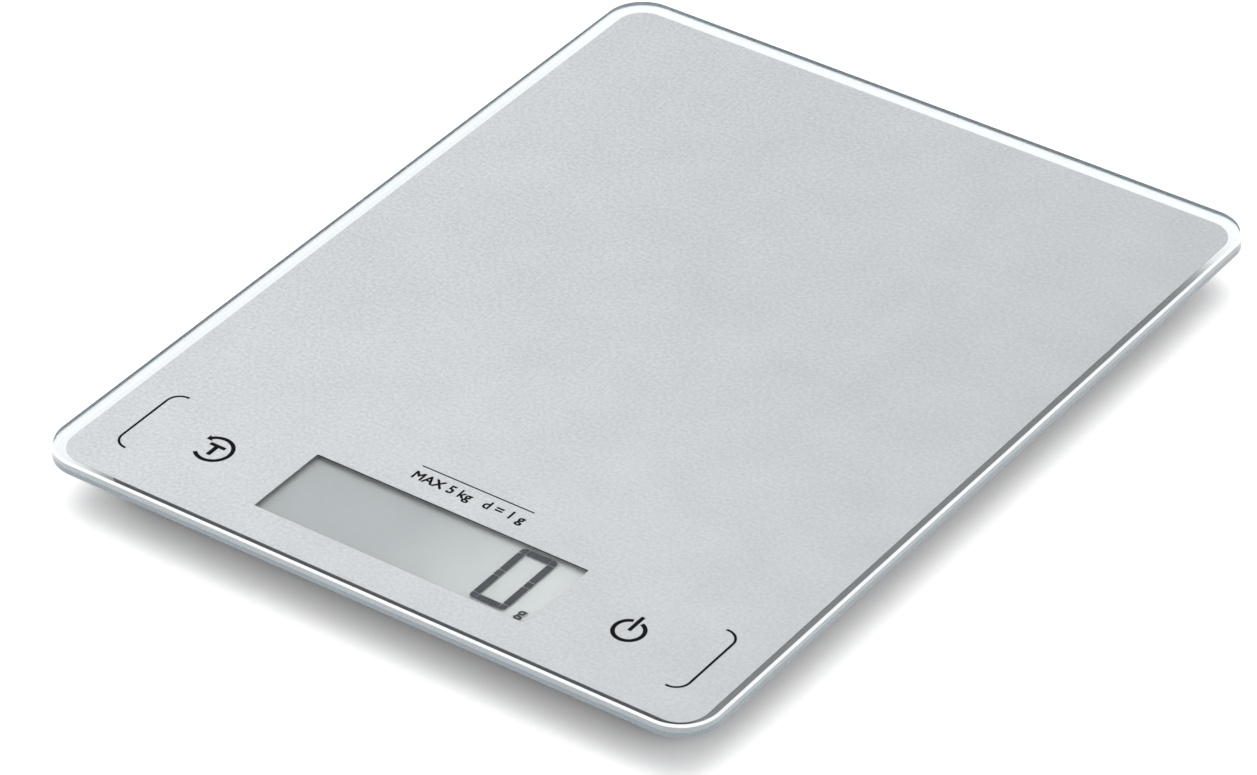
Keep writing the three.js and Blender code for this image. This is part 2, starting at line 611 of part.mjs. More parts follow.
/** The foot: a cup that slides in the tray, kept in by a flange, with a button under the load cell. */
function footCup(x, y) {
  const padRadius = FOOT_RADIUS - CUP_RIM;
  const seat = PAD_THICKNESS + HAIRLINE;
  return turned([
    [0, seat], [padRadius + PAD_FIT, seat], [padRadius + PAD_FIT, PAD_PROUD],
    [FOOT_RADIUS - CUP_EDGE, PAD_PROUD],
    [FOOT_RADIUS, PAD_PROUD + CUP_EDGE], [FOOT_RADIUS, CUP_FLANGE_BOTTOM],
    [FOOT_RADIUS + FOOT_FLANGE, CUP_FLANGE_BOTTOM], [FOOT_RADIUS + FOOT_FLANGE, CUP_FLANGE_TOP],
    [BUTTON_RADIUS, CUP_FLANGE_TOP], [BUTTON_RADIUS, BUTTON_TOP], [0, BUTTON_TOP],
  ], x, y);
}

function footPad(x, y) {
  const radius = FOOT_RADIUS - CUP_RIM;
  return turned([
    [0, 0], [radius - PAD_EDGE, 0], [radius, PAD_EDGE], [radius, PAD_THICKNESS], [0, PAD_THICKNESS],
  ], x, y);
}

// ---------------------------------------------------------------- battery

function coinCell() {
  const r = COIN_RADIUS;
  return turned([
    [0, COIN_BOTTOM], [r - COIN_EDGE, COIN_BOTTOM], [r, COIN_BOTTOM + COIN_EDGE], [r, COIN_TOP - COIN_STEP],
    [r - COIN_CAP_INSET, COIN_TOP - COIN_STEP], [r - COIN_CAP_INSET, COIN_TOP], [0, COIN_TOP],
  ], 0, BATTERY_Y);
}

/** The flush door, with two hooks that catch on the tray and a finger notch on the side that opens. */
function batteryDoor() {
  const back = BATTERY_Y + DOOR_HALF;
  const front = BATTERY_Y - DOOR_HALF;
  const hookBottom = FLOOR_TOP + CLEARANCE;
  const hooks = [-1, 1].flatMap((side) => {
    const x = side * DOOR_HALF * 0.55;
    const x0 = x - HOOK_WIDTH / 2;
    const x1 = x + HOOK_WIDTH / 2;
    return [
      block(x0, x1, back - HOOK_THICKNESS, back, DOOR_TOP - OVERLAP, hookBottom + HOOK_THICKNESS),
      block(x0, x1, back - OVERLAP, back + HOOK_REACH, hookBottom, hookBottom + HOOK_THICKNESS),
    ];
  });
  const notch = disc(0, front, HOOK_WIDTH * 0.8, FLOOR_BOTTOM - OVERCUT, FLOOR_BOTTOM + DOOR_THICKNESS / 2);
  const panel = roundedPlate(2 * DOOR_HALF, 2 * DOOR_HALF, DOOR_CORNER, FLOOR_BOTTOM, DOOR_TOP, 0, BATTERY_Y);
  return carved(panel, { add: hooks, cut: [notch] });
}

/** The leaf over the coin cell, bent up through the well's ceiling to a solder tab. */
function minusContact() {
  const bottom = COIN_TOP + CONTACT_GAP;
  const half = CONTACT_WIDTH / 2;
  const bend = BATTERY_Y - WELL_HALF + COIN_WALL + CLEARANCE;
  return carved(block(-half, half, bend, BATTERY_Y + half, bottom, bottom + CONTACT_THICKNESS), {
    add: [block(-half, half, bend, bend + CONTACT_THICKNESS, bottom, CONTACT_TOP)],
  });
}

/** The upright leaf against the rim of the coin cell. */
function plusContact() {
  const x = COIN_RADIUS + CONTACT_GAP;
  const half = CONTACT_WIDTH / 2;
  return block(x, x + CONTACT_THICKNESS, BATTERY_Y - half, BATTERY_Y + half, COIN_BOTTOM, CONTACT_TOP);
}

// ---------------------------------------------------------------- leads

function lead(points) {
  const places = points.map((point) => new THREE.Vector3(...point));
  const curve = new THREE.CatmullRomCurve3(places, false, "centripetal");
  const steps = Math.max(10, Math.round(curve.getLength() / LEAD_STEP));
  return wire(curve, LEAD_RADIUS, steps, 3);
}

const LEAD_ON_BOARD = BOARD_TOP + LEAD_RADIUS + LEAD_LIFT;
const LEAD_OVER_CLAMP = CLAMP_TOP + LEAD_RADIUS + LEAD_LIFT;
const LEAD_ON_CELL = CELL_TOP + LEAD_RADIUS + LEAD_LIFT;
const LEAD_OVER_RIBS = FLOOR_TOP + RIB_HEIGHT + LEAD_RADIUS + LEAD_LIFT;
const CLAMP_OPENING = CLAMP_HALF - CLAMP_RIM;

/** The stretch of a lead that climbs from its load cell over the rim of the clamp. */
function climb(side, y) {
  return [
    [side * (FOOT_X - CLAMP_OPENING + 5), y, LEAD_ON_CELL],
    [side * (FOOT_X - CLAMP_OPENING + 2), y, LEAD_OVER_CLAMP],
    [side * (FOOT_X - CLAMP_HALF), y, LEAD_OVER_CLAMP],
  ];
}

/** A front load cell's lead: over its clamp and straight onto the board beside it. */
function frontCellLead(side) {
  const y = -FOOT_Y + CLAMP_HALF / 2;
  return lead([
    ...climb(side, y),
    [side * (BOARD_HALF - 1), y, LEAD_ON_BOARD + 1],
    [side * (BOARD_HALF - 2), y, LEAD_ON_BOARD],
  ]);
}

/** A rear load cell's lead: over its clamp, along the floor and up onto the back of the board. */
function rearCellLead(side) {
  const y = FOOT_Y - CLAMP_HALF / 2;
  const lane = FOOT_X - CLAMP_HALF - 1.5;
  const boardLane = HOLDER_HALF - 1;
  return lead([
    ...climb(side, y),
    [side * (lane + 0.5), y - 2, LEAD_OVER_CLAMP],
    [side * lane, y - 14, LEAD_OVER_RIBS],
    [side * lane, BOARD_BACK + 26, LEAD_OVER_RIBS],
    [side * (boardLane + 2), BOARD_BACK + 6, LEAD_ON_BOARD + 0.5],
    [side * boardLane, BOARD_BACK - 5, LEAD_ON_BOARD],
  ]);
}

/** A battery lead from a contact's solder tab onto the back of the board. */
function batteryLead(startX, startY, endX) {
  return lead([
    [startX, startY, CONTACT_TOP - LEAD_RADIUS],
    [startX, startY - 2, CONTACT_TOP],
    [(startX + endX) / 2, (startY + BOARD_BACK) / 2 - 3, CONTACT_TOP],
    [endX, BOARD_BACK - 3, LEAD_ON_BOARD],
  ]);
}

// ---------------------------------------------------------------- the assembly

piece("glass_plate", glassPlate(), "clearGlass");
piece("silver_backprint", backPrint(), "silverInk");
piece("foam_tape", foamTape(), "foam");
piece("base_tray", baseTray(), "trayPlastic");
piece("rating_label", ratingLabel(), "labelFilm");

piece("lcd_front_glass", lcdFrontSheet(), "displayGlass");
piece("lcd_rear_glass", lcdRearSheet(REAR_SHEET_BOTTOM, REAR_SHEET_TOP), "displayGlass");
piece("lcd_reflector", lcdRearSheet(REFLECTOR_BOTTOM, REFLECTOR_BOTTOM + REFLECTOR_THICKNESS), "reflector");
piece("lcd_holder", lcdHolder(), "holderPlastic");
piece("zebra_strip", zebraStrip(), "zebra");

piece("main_board", mainBoard(), "boardGreen");
piece("controller_blob", controllerBlob(), "epoxy");
piece("converter_chip", converterChip(), "epoxy");
BOARD_SCREWS.forEach(([x, y], index) =>
  piece(`board_screw_${index + 1}`, screw(x, y, BOARD_TOP), "screwSteel"));

for (const [key, side] of [["tare", -1], ["power", 1]]) {
  piece(`touch_foil_${key}`, touchFoil(side), "copper");
  piece(`touch_spring_${key}`, touchSpring(side), "springSteel");
}

for (const [corner, sideX, sideY] of CORNERS) {
  const x = sideX * FOOT_X;
  const y = sideY * FOOT_Y;
  piece(`foot_pad_${corner}`, footPad(x, y), "rubber");
  piece(`foot_cup_${corner}`, footCup(x, y), "cupPlastic");
  piece(`load_cell_${corner}`, loadCell(x, y, sideY), "cellAlloy");
  piece(`cell_clamp_${corner}`, cellClamp(sideX, sideY), "clampPlastic");
  clampScrews(sideX, sideY).forEach(([sx, sy], index) =>
    piece(`clamp_screw_${corner}_${index + 1}`, screw(sx, sy, CLAMP_TOP), "screwSteel"));
  piece(`cell_lead_${corner}`, sideY < 0 ? frontCellLead(sideX) : rearCellLead(sideX), "whiteWire");
}

piece("battery_door", batteryDoor(), "doorPlastic");
piece("coin_cell", coinCell(), "coinSteel");
piece("minus_contact", minusContact(), "springSteel");
piece("plus_contact", plusContact(), "springSteel");
const MINUS_TAB_Y = BATTERY_Y - WELL_HALF + COIN_WALL - LEAD_RADIUS;
const PLUS_TAB_X = COIN_RADIUS + CONTACT_GAP + CONTACT_THICKNESS + LEAD_RADIUS + LEAD_LIFT;
piece("battery_lead_minus", batteryLead(0, MINUS_TAB_Y, -COIN_RADIUS / 2), "blackWire");
piece("battery_lead_plus", batteryLead(PLUS_TAB_X, BATTERY_Y, COIN_RADIUS), "redWire");

export default scale;
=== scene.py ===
# %% [markdown]
# # A slim glass kitchen scale
# The real object is a 210 by 270 mm plate of clear glass, printed silver on its underside, bonded
# to a shallow dark tray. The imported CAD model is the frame: it gives every piece its size and place.
# This lesson builds the looks around it, one piece or finish at a time.

# %% load the frame
import json
from math import cos, sin, pi, radians
import bmesh
import bpy
from mathutils import Matrix, Vector


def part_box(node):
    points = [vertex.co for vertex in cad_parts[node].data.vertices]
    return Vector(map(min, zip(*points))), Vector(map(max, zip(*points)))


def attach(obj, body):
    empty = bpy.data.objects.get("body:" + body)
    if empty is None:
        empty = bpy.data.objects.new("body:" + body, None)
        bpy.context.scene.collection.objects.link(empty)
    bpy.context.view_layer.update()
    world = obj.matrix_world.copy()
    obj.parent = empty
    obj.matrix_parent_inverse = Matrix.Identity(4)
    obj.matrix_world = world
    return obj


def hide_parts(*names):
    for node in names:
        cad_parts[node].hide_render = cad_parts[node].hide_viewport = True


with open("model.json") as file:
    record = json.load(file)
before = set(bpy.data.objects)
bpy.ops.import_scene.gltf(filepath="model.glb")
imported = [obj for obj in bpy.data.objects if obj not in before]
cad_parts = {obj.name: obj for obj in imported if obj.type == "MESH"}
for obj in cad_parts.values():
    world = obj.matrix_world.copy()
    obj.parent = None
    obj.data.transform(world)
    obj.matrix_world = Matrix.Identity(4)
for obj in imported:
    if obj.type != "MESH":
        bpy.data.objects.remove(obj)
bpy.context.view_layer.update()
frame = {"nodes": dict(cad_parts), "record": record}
scene = bpy.context.scene
BODY_OF = {node: body for body, nodes in frame["record"]["behaviour"]["bodies"].items() for node in nodes}
MM = 0.001

# %% [markdown]
# ## Camera
# A product view from the front right corner, looking down at 36 degrees through a long lens, so
# the plate's far edge is nearly as long as its near one. The camera is placed by an orbit around a
# point near the middle of the glass, and tipped by a fraction of a degree, as a hand-set tripod is.

# %% camera
AZIMUTH = radians(35.838)
ELEVATION = radians(35.877)
ROLL = radians(-0.681)
AIM = Vector((0.00693, -0.0243, 0.01745))
DISTANCE = 1.6088
LENS = 174.7
SENSOR = 36.0


def orbit_matrix(azimuth, elevation, roll, aim, distance):
    """Where a camera stands that looks at aim from that azimuth and elevation."""
    back = Vector((sin(azimuth) * cos(elevation), -cos(azimuth) * cos(elevation), sin(elevation)))
    level = Vector((cos(azimuth), sin(azimuth), 0))
    up = back.cross(level)
    right = level * cos(roll) + up * sin(roll)
    top = up * cos(roll) - level * sin(roll)
    matrix = Matrix((right, top, back)).transposed().to_4x4()
    matrix.translation = aim + back * distance
    return matrix


camera_data = bpy.data.cameras.new("camera")
camera_data.lens = LENS
camera_data.sensor_width = SENSOR
camera_data.clip_start = 0.05
camera = bpy.data.objects.new("camera", camera_data)
camera.matrix_world = orbit_matrix(AZIMUTH, ELEVATION, ROLL, AIM, DISTANCE)
scene.collection.objects.link(camera)
scene.camera = camera
print("camera stands at", [round(v, 3) for v in camera.location])

# %% [markdown]
# ## Small tools for making pieces
# Every piece is shaped with bmesh operators in millimetres and turned into an object in metres that
# stands at the origin, so a pattern on Object coordinates has the scale of the frame. Edges sharper
# than a limit stay crisp and the rest is shaded smooth. Points closer than a tenth of a micrometre
# count as one.

# %% tools for pieces
SHARP = radians(35)
TOUCHING = 1e-4
CORNER_STEPS = 24


def settle_order(bm):
    """Numbers points, edges and faces by their place, so that every run stores the same mesh."""
    for number, vert in enumerate(sorted(bm.verts, key=lambda vert: tuple(vert.co))):
        vert.index = number
    for elements in (bm.edges, bm.faces):
        placed = sorted(elements, key=lambda element: sorted(vert.index for vert in element.verts))
        for number, element in enumerate(placed):
            element.index = number
    for elements in (bm.verts, bm.edges, bm.faces):
        elements.sort()


def as_piece(name, bm, materials, body="scale_body", replaces=()):
    """The bmesh as a finished object that rides on a body."""
    settle_order(bm)
    bmesh.ops.transform(bm, matrix=Matrix.Scale(MM, 4), verts=bm.verts)
    for face in bm.faces:
        face.smooth = True
    for edge in bm.edges:
        edge.smooth = len(edge.link_faces) == 2 and edge.calc_face_angle(0) < SHARP
    mesh = bpy.data.meshes.new(name)
    bm.to_mesh(mesh)
    bm.free()
    for material in materials:
        mesh.materials.append(material)
    piece = bpy.data.objects.new(name, mesh)
    scene.collection.objects.link(piece)
    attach(piece, body)
    if replaces:
        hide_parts(*replaces)
    return piece


def unique(items):
    """Each item once, in the order they come."""
    return list(dict.fromkeys(items))


def rounded_sheet(bm, width, length, radius, level, steps=CORNER_STEPS, y=0.0):
    """One flat rounded rectangle in bm, its corners bevelled from a square sheet."""
    made = bmesh.ops.create_grid(bm, x_segments=1, y_segments=1, size=0.5)
    verts = made["verts"]
    bmesh.ops.scale(bm, vec=(width, length, 1), verts=verts)
    bmesh.ops.translate(bm, vec=(0, y, level), verts=verts)
    rounded = bmesh.ops.bevel(
        bm, geom=verts, offset=radius, offset_type="OFFSET", segments=steps, profile=0.5,
        affect="VERTICES", material=-1)
    return rounded["faces"] + [f for v in rounded["verts"] for f in v.link_faces]


def raise_faces(bm, faces, height):
    """Gives a flat sheet its thickness."""
    made = bmesh.ops.extrude_face_region(bm, geom=unique(faces))
    top = [v for v in made["geom"] if isinstance(v, bmesh.types.BMVert)]
    bmesh.ops.translate(bm, vec=(0, 0, height), verts=top)
    bmesh.ops.recalc_face_normals(bm, faces=bm.faces)


def cad_box_mm(node):
    """A CAD node's lowest and highest corners in millimetres."""
    low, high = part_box(node)
    return low / MM, high / MM


def texture_coords(tree):
    """Object coordinates through a Mapping node."""
    coords = tree.nodes.new("ShaderNodeTexCoord")
    mapping = tree.nodes.new("ShaderNodeMapping")
    tree.links.new(coords.outputs["Object"], mapping.inputs["Vector"])
    return mapping.outputs["Vector"]


# %% [markdown]
# ## Shared effects
# Three effects turn up in many finishes, so each is a node group with named sockets. Speckle breaks a
# colour into fine grains. Worn edges lighten a convex edge with Geometry's Pointiness. Moulded skin
# gives the height and roughness of spark-textured plastic. The ranges below say which stretch of a
# noise is spread over the whole effect; the shares say how much grain and cloud count in the colour.

# %% shared effects
GRAIN_RANGE = (0.3, 0.7)
GRAIN_SHARE = 0.6
GRAIN_DETAIL = 1.0
CLOUD_RANGE = (0.35, 0.65)
CLOUD_SHARE = 0.4
BROAD_DETAIL = 3.0
WORN_REACH = 0.58
WORN_FULL = 0.72
WORN_BREAKUP = 0.12
WORN_NOISE = 900.0
SKIN_NOISE = 60.0
SKIN_SPREAD = 0.2
SKIN_PER_GRAIN = 0.8


def new_group(name, inputs, outputs):
    """An empty node group with named sockets, and its input and output nodes."""
    group = bpy.data.node_groups.new(name, "ShaderNodeTree")
    for label, kind, value in inputs:
        socket = group.interface.new_socket(label, in_out="INPUT", socket_type=kind)
        socket.default_value = value
    for label, kind in outputs:
        group.interface.new_socket(label, in_out="OUTPUT", socket_type=kind)
    return group, group.nodes.new("NodeGroupInput"), group.nodes.new("NodeGroupOutput")


def noise(tree, vector, scale, detail, roughness=0.5):
    """A noise texture; scale is a number or a socket."""
    node = tree.nodes.new("ShaderNodeTexNoise")
    node.inputs["Detail"].default_value = detail
    node.inputs["Roughness"].default_value = roughness
    if isinstance(scale, float):
        node.inputs["Scale"].default_value = scale
    else:
        tree.links.new(scale, node.inputs["Scale"])
    tree.links.new(vector, node.inputs["Vector"])
    return node


def remap(tree, value, low, high, to_high=1.0):
    """Spreads the stretch from low to high over 0 to to_high."""
    node = tree.nodes.new("ShaderNodeMapRange")
    node.inputs["From Min"].default_value = low
    node.inputs["From Max"].default_value = high
    node.inputs["To Min"].default_value = 0.0
    node.inputs["To Max"].default_value = to_high
    tree.links.new(value, node.inputs["Value"])
    return node.outputs["Result"]


def speckle_group():
    """A colour that drifts between two tones in fine grains and broad clouds."""
    group, take, give = new_group(
        "speckle",
        [("Dark", "NodeSocketColor", (0.4, 0.4, 0.4, 1)), ("Light", "NodeSocketColor", (0.6, 0.6, 0.6, 1)),
         ("Grain", "NodeSocketFloat", 3000.0), ("Cloud", "NodeSocketFloat", 18.0)],
        [("Color", "NodeSocketColor"), ("Grain Mask", "NodeSocketFloat")])
    place = texture_coords(group)
    grain = noise(group, place, take.outputs["Grain"], GRAIN_DETAIL)
    cloud = noise(group, place, take.outputs["Cloud"], BROAD_DETAIL)
    grains = remap(group, grain.outputs["Fac"], *GRAIN_RANGE)
    clouds = remap(group, cloud.outputs["Fac"], *CLOUD_RANGE)
    both = group.nodes.new("ShaderNodeMath")
    both.operation = "MULTIPLY_ADD"
    both.inputs[1].default_value = CLOUD_SHARE
    group.links.new(clouds, both.inputs[0])
    group.links.new(remap(group, grains, 0.0, 1.0, GRAIN_SHARE), both.inputs[2])
    mix = group.nodes.new("ShaderNodeMix")
    mix.data_type = "RGBA"
    group.links.new(both.outputs[0], mix.inputs["Factor"])
    group.links.new(take.outputs["Dark"], mix.inputs["A"])
    group.links.new(take.outputs["Light"], mix.inputs["B"])
    group.links.new(mix.outputs["Result"], give.inputs["Color"])
    group.links.new(grains, give.inputs["Grain Mask"])
    return group


def worn_edge_group():
    """A mask that is 1 on a rubbed convex edge, broken up by noise."""
    group, take, give = new_group(
        "worn edge", [("Reach", "NodeSocketFloat", WORN_REACH)], [("Mask", "NodeSocketFloat")])
    geometry = group.nodes.new("ShaderNodeNewGeometry")
    broken = noise(group, texture_coords(group), WORN_NOISE, BROAD_DETAIL)
    lift = group.nodes.new("ShaderNodeMath")
    lift.operation = "MULTIPLY_ADD"
    lift.inputs[1].default_value = WORN_BREAKUP
    group.links.new(broken.outputs["Fac"], lift.inputs[0])
    group.links.new(geometry.outputs["Pointiness"], lift.inputs[2])
    edge = group.nodes.new("ShaderNodeMapRange")
    group.links.new(lift.outputs[0], edge.inputs["Value"])
    group.links.new(take.outputs["Reach"], edge.inputs["From Min"])
    edge.inputs["From Max"].default_value = WORN_FULL
    group.links.new(edge.outputs["Result"], give.inputs["Mask"])
    return group


def moulded_skin_group():
    """Height and roughness of spark-textured plastic."""
    group, take, give = new_group(
        "moulded skin", [("Scale", "NodeSocketFloat", 2200.0), ("Roughness", "NodeSocketFloat", 0.5)],
        [("Height", "NodeSocketFloat"), ("Roughness", "NodeSocketFloat")])
    place = texture_coords(group)
    pits = group.nodes.new("ShaderNodeTexVoronoi")
    group.links.new(place, pits.inputs["Vector"])
    group.links.new(take.outputs["Scale"], pits.inputs["Scale"])
    drift = noise(group, place, SKIN_NOISE, BROAD_DETAIL)
    group.links.new(pits.outputs["Distance"], give.inputs["Height"])
    spread = group.nodes.new("ShaderNodeMath")
    spread.operation = "MULTIPLY_ADD"
    spread.inputs[1].default_value = SKIN_SPREAD
    group.links.new(drift.outputs["Fac"], spread.inputs[0])
    group.links.new(take.outputs["Roughness"], spread.inputs[2])
    group.links.new(spread.outputs[0], give.inputs["Roughness"])
    return group


SPECKLE = speckle_group()
WORN_EDGE = worn_edge_group()
MOULDED_SKIN = moulded_skin_group()
print("shader groups:", [group.name for group in bpy.data.node_groups])

# %% [markdown]
# ## A general finish
# Most pieces are an opaque moulding, metal or film. One function lays the shared effects on a
# Principled shader with each material's own values. Values that are even all over the surface, such
# as specular or sheen, are set on the shader's own socket.

# %% general finish
def group_node(tree, group, **values):
    """A shared effect placed in a material, with this material's values."""
    node = tree.nodes.new("ShaderNodeGroup")
    node.node_tree = group
    for label, value in values.items():
        node.inputs[label].default_value = value
    return node


def finish(name, dark, light, rough=0.5, metallic=0.0, grain=2500.0, cloud=30.0, bump=0.15,
           bump_depth=0.00002, worn=None, drift=None, **plain):
    """An opaque procedural material: speckled colour, varied roughness, fine bump and worn edges.
    drift is (start, end, colour), painted light and shade: along X in metres the colour turns into another
    one."""
    material = bpy.data.materials.new(name)
    material.use_nodes = True
    tree = material.node_tree
    shader = tree.nodes["Principled BSDF"]
    shader.inputs["Metallic"].default_value = metallic
    for label, value in plain.items():
        shader.inputs[label.replace("_", " ")].default_value = value
    speckle = group_node(tree, SPECKLE, Dark=(*dark, 1), Light=(*light, 1), Grain=grain, Cloud=cloud)
    colour = speckle.outputs["Color"]
    if worn:
        edge = group_node(tree, WORN_EDGE, Reach=WORN_REACH)
        mix = tree.nodes.new("ShaderNodeMix")
        mix.data_type = "RGBA"
        tree.links.new(edge.outputs["Mask"], mix.inputs["Factor"])
        tree.links.new(colour, mix.inputs["A"])
        mix.inputs["B"].default_value = (*worn, 1)
        colour = mix.outputs["Result"]
    # painted light and shade: along X the colour is mixed towards a second one, darker for the silver ink,
    # lighter for the display reflector
    if drift:
        start, end, painted_light_colour = drift
        split = tree.nodes.new("ShaderNodeSeparateXYZ")
        tree.links.new(texture_coords(tree), split.inputs[0])
        mix = tree.nodes.new("ShaderNodeMix")
        mix.data_type = "RGBA"
        tree.links.new(remap(tree, split.outputs["X"], start, end), mix.inputs["Factor"])
        tree.links.new(colour, mix.inputs["A"])
        mix.inputs["B"].default_value = (*painted_light_colour, 1)
        colour = mix.outputs["Result"]
    tree.links.new(colour, shader.inputs["Base Color"])
    skin = group_node(tree, MOULDED_SKIN, Scale=grain * SKIN_PER_GRAIN, Roughness=rough - SKIN_SPREAD / 2)
    tree.links.new(skin.outputs["Roughness"], shader.inputs["Roughness"])
    relief = tree.nodes.new("ShaderNodeBump")
    relief.inputs["Strength"].default_value = bump
    relief.inputs["Distance"].default_value = bump_depth
    tree.links.new(skin.outputs["Height"], relief.inputs["Height"])
    tree.links.new(relief.outputs["Normal"], shader.inputs["Normal"])
    return material


# %% [markdown]
# ## Glass
# Polished float glass is one Principled shader with full transmission. Lamps can't shine through a
# refracting surface in a path tracer without endless noise, so Light Path swaps the glass for a
# Transparent shader where a ray isn't the camera's own: the print below is lit as if the glass let
# the light straight in. The fingerprints are a faint change of roughness. The edge of a plate looks
# blue-grey, because light has come a long way through the glass before it leaves there; after one
# bounce inside, the eye meets a milky deep colour instead of an endless hall of mirrors.

# %% glass finishes
GLASS_IOR = 1.52
TINT_DRIFT = 0.985
TINT_GRAIN = 60.0
TINT_CLOUD = 6.0
SMUDGE = 0.003
SMUDGE_NOISE = 35.0
SMUDGE_DETAIL = 4.0
SMUDGE_ROUGHNESS = 0.6
SMUDGE_RANGE = (0.45, 0.7)
HALF_A_BOUNCE = 0.5


def math_node(tree, operation, first, second):
    """A Math node; each operand is a number or a socket."""
    node = tree.nodes.new("ShaderNodeMath")
    node.operation = operation
    for socket, value in zip(node.inputs, (first, second)):
        if isinstance(value, float):
            socket.default_value = value
        else:
            tree.links.new(value, socket)
    return node.outputs[0]


def clear_glass(name, tint, deep):
    """Polished glass; deep is its colour where light has bounced inside before it reaches the eye."""
    material = bpy.data.materials.new(name)
    material.use_nodes = True
    tree = material.node_tree
    shader = tree.nodes["Principled BSDF"]
    shader.inputs["Transmission Weight"].default_value = 1.0
    shader.inputs["IOR"].default_value = GLASS_IOR
    faint = tuple(channel * TINT_DRIFT for channel in tint)
    speckle = group_node(tree, SPECKLE, Dark=(*faint, 1), Light=(*tint, 1), Grain=TINT_GRAIN,
                         Cloud=TINT_CLOUD)
    tree.links.new(speckle.outputs["Color"], shader.inputs["Base Color"])
    smudge = noise(tree, texture_coords(tree), SMUDGE_NOISE, SMUDGE_DETAIL, SMUDGE_ROUGHNESS)
    tree.links.new(remap(tree, smudge.outputs["Fac"], *SMUDGE_RANGE, SMUDGE), shader.inputs["Roughness"])
    path = tree.nodes.new("ShaderNodeLightPath")
    blurred = math_node(tree, "SUBTRACT", path.outputs["Is Glossy Ray"], path.outputs["Is Singular Ray"])
    indirect = math_node(tree, "MAXIMUM", path.outputs["Is Shadow Ray"], path.outputs["Is Diffuse Ray"])
    lets_light_in = math_node(tree, "MAXIMUM", indirect, blurred)
    bounced = math_node(tree, "GREATER_THAN", path.outputs["Glossy Depth"], HALF_A_BOUNCE)
    milk = tree.nodes.new("ShaderNodeBsdfTranslucent")
    milk.inputs["Color"].default_value = (*deep, 1)
    body = tree.nodes.new("ShaderNodeMixShader")
    tree.links.new(bounced, body.inputs[0])
    tree.links.new(shader.outputs["BSDF"], body.inputs[1])
    tree.links.new(milk.outputs["BSDF"], body.inputs[2])
    through = tree.nodes.new("ShaderNodeBsdfTransparent")
    mix = tree.nodes.new("ShaderNodeMixShader")
    tree.links.new(lets_light_in, mix.inputs[0])
    tree.links.new(body.outputs["Shader"], mix.inputs[1])
    tree.links.new(through.outputs["BSDF"], mix.inputs[2])
    tree.links.new(mix.outputs["Shader"], tree.nodes["Material Output"].inputs["Surface"])
    return material


PLATE_GLASS = clear_glass("plate glass", (0.80, 0.835, 0.845), (0.27, 0.305, 0.325))
EDGE_GLASS = clear_glass("plate edge glass", (0.40, 0.455, 0.475), (0.22, 0.25, 0.265))
DISPLAY_GLASS = clear_glass("display glass", (0.97, 0.975, 0.97), (0.2, 0.203, 0.2))

# %% [markdown]
# ## Opaque finishes
# The silver ink is a screen print full of metal flake: about a third metallic, satin, with a grain of
# a millimetre or less. Its drift is painted shade that darkens the print from left to right. The black
# inks have no shine of their own, because they're seen through the glass. The tray is anthracite plastic.
# Inside there is the usual bench of parts: white mouldings, green laminate, bright steel and copper.

# %% opaque finishes
# painted shade: drift darkens the silver ink towards the right
SILVER_INK = finish("silver ink", (0.385, 0.39, 0.40), (0.585, 0.59, 0.605), rough=0.5, metallic=0.3,
                    grain=1000.0, cloud=2.0, bump=0.25, bump_depth=0.00002,
                    drift=(-0.2, 0.3, (0.36, 0.365, 0.375)))
BLACK_INK = finish("black ink", (0.004, 0.004, 0.005), (0.008, 0.008, 0.009), rough=0.6, grain=4000.0,
                   Specular_IOR_Level=0.0)
GROUND_EDGE = finish("ground edge", (0.8, 0.82, 0.83), (0.9, 0.91, 0.92), rough=0.4, grain=5000.0, bump=0.1,
                     Transmission_Weight=0.25)
SEGMENT = finish("lit segment", (0.035, 0.035, 0.04), (0.05, 0.05, 0.055), rough=0.6, grain=6000.0,
                 Specular_IOR_Level=0.0)
# painted highlight: drift turns the display reflector much lighter towards its right end
REFLECTOR = finish("display reflector", (0.55, 0.552, 0.55), (0.585, 0.587, 0.585), rough=0.45, metallic=0.2,
                   grain=5000.0, cloud=20.0, drift=(-0.005, 0.046, (0.92, 0.915, 0.895)))
FOAM = finish("closed-cell foam", (0.018, 0.018, 0.02), (0.04, 0.04, 0.042), rough=0.9, grain=1800.0,
              bump=0.6, bump_depth=0.0001)
TRAY_PLASTIC = finish("anthracite plastic", (0.022, 0.024, 0.025), (0.034, 0.036, 0.038), rough=0.5,
                      grain=2200.0, bump=0.3, bump_depth=0.00004, worn=(0.07, 0.07, 0.074))
CUP_PLASTIC = finish("foot plastic", (0.03, 0.031, 0.033), (0.045, 0.046, 0.048), rough=0.5, grain=2600.0,
                     bump=0.25, bump_depth=0.00003, worn=(0.09, 0.09, 0.095))
RUBBER = finish("foot rubber", (0.02, 0.02, 0.021), (0.035, 0.035, 0.036), rough=0.85, grain=1500.0,
                bump=0.5, bump_depth=0.00006)
WHITE_PLASTIC = finish("white moulding", (0.66, 0.66, 0.64), (0.76, 0.76, 0.74), rough=0.5, grain=2000.0)
LABEL_FILM = finish("label film", (0.6, 0.61, 0.62), (0.68, 0.69, 0.7), rough=0.45, metallic=0.3,
                    grain=4000.0)
LAMINATE = finish("board laminate", (0.012, 0.09, 0.035), (0.02, 0.13, 0.05), rough=0.4, grain=1400.0)
EPOXY = finish("black epoxy", (0.006, 0.006, 0.007), (0.012, 0.012, 0.013), rough=0.35, grain=1200.0)
ZEBRA = finish("zebra rubber", (0.2, 0.2, 0.24), (0.32, 0.32, 0.36), rough=0.7, grain=3000.0)
STEEL = finish("bright steel", (0.5, 0.51, 0.52), (0.66, 0.67, 0.68), rough=0.35, metallic=1.0, grain=1500.0)
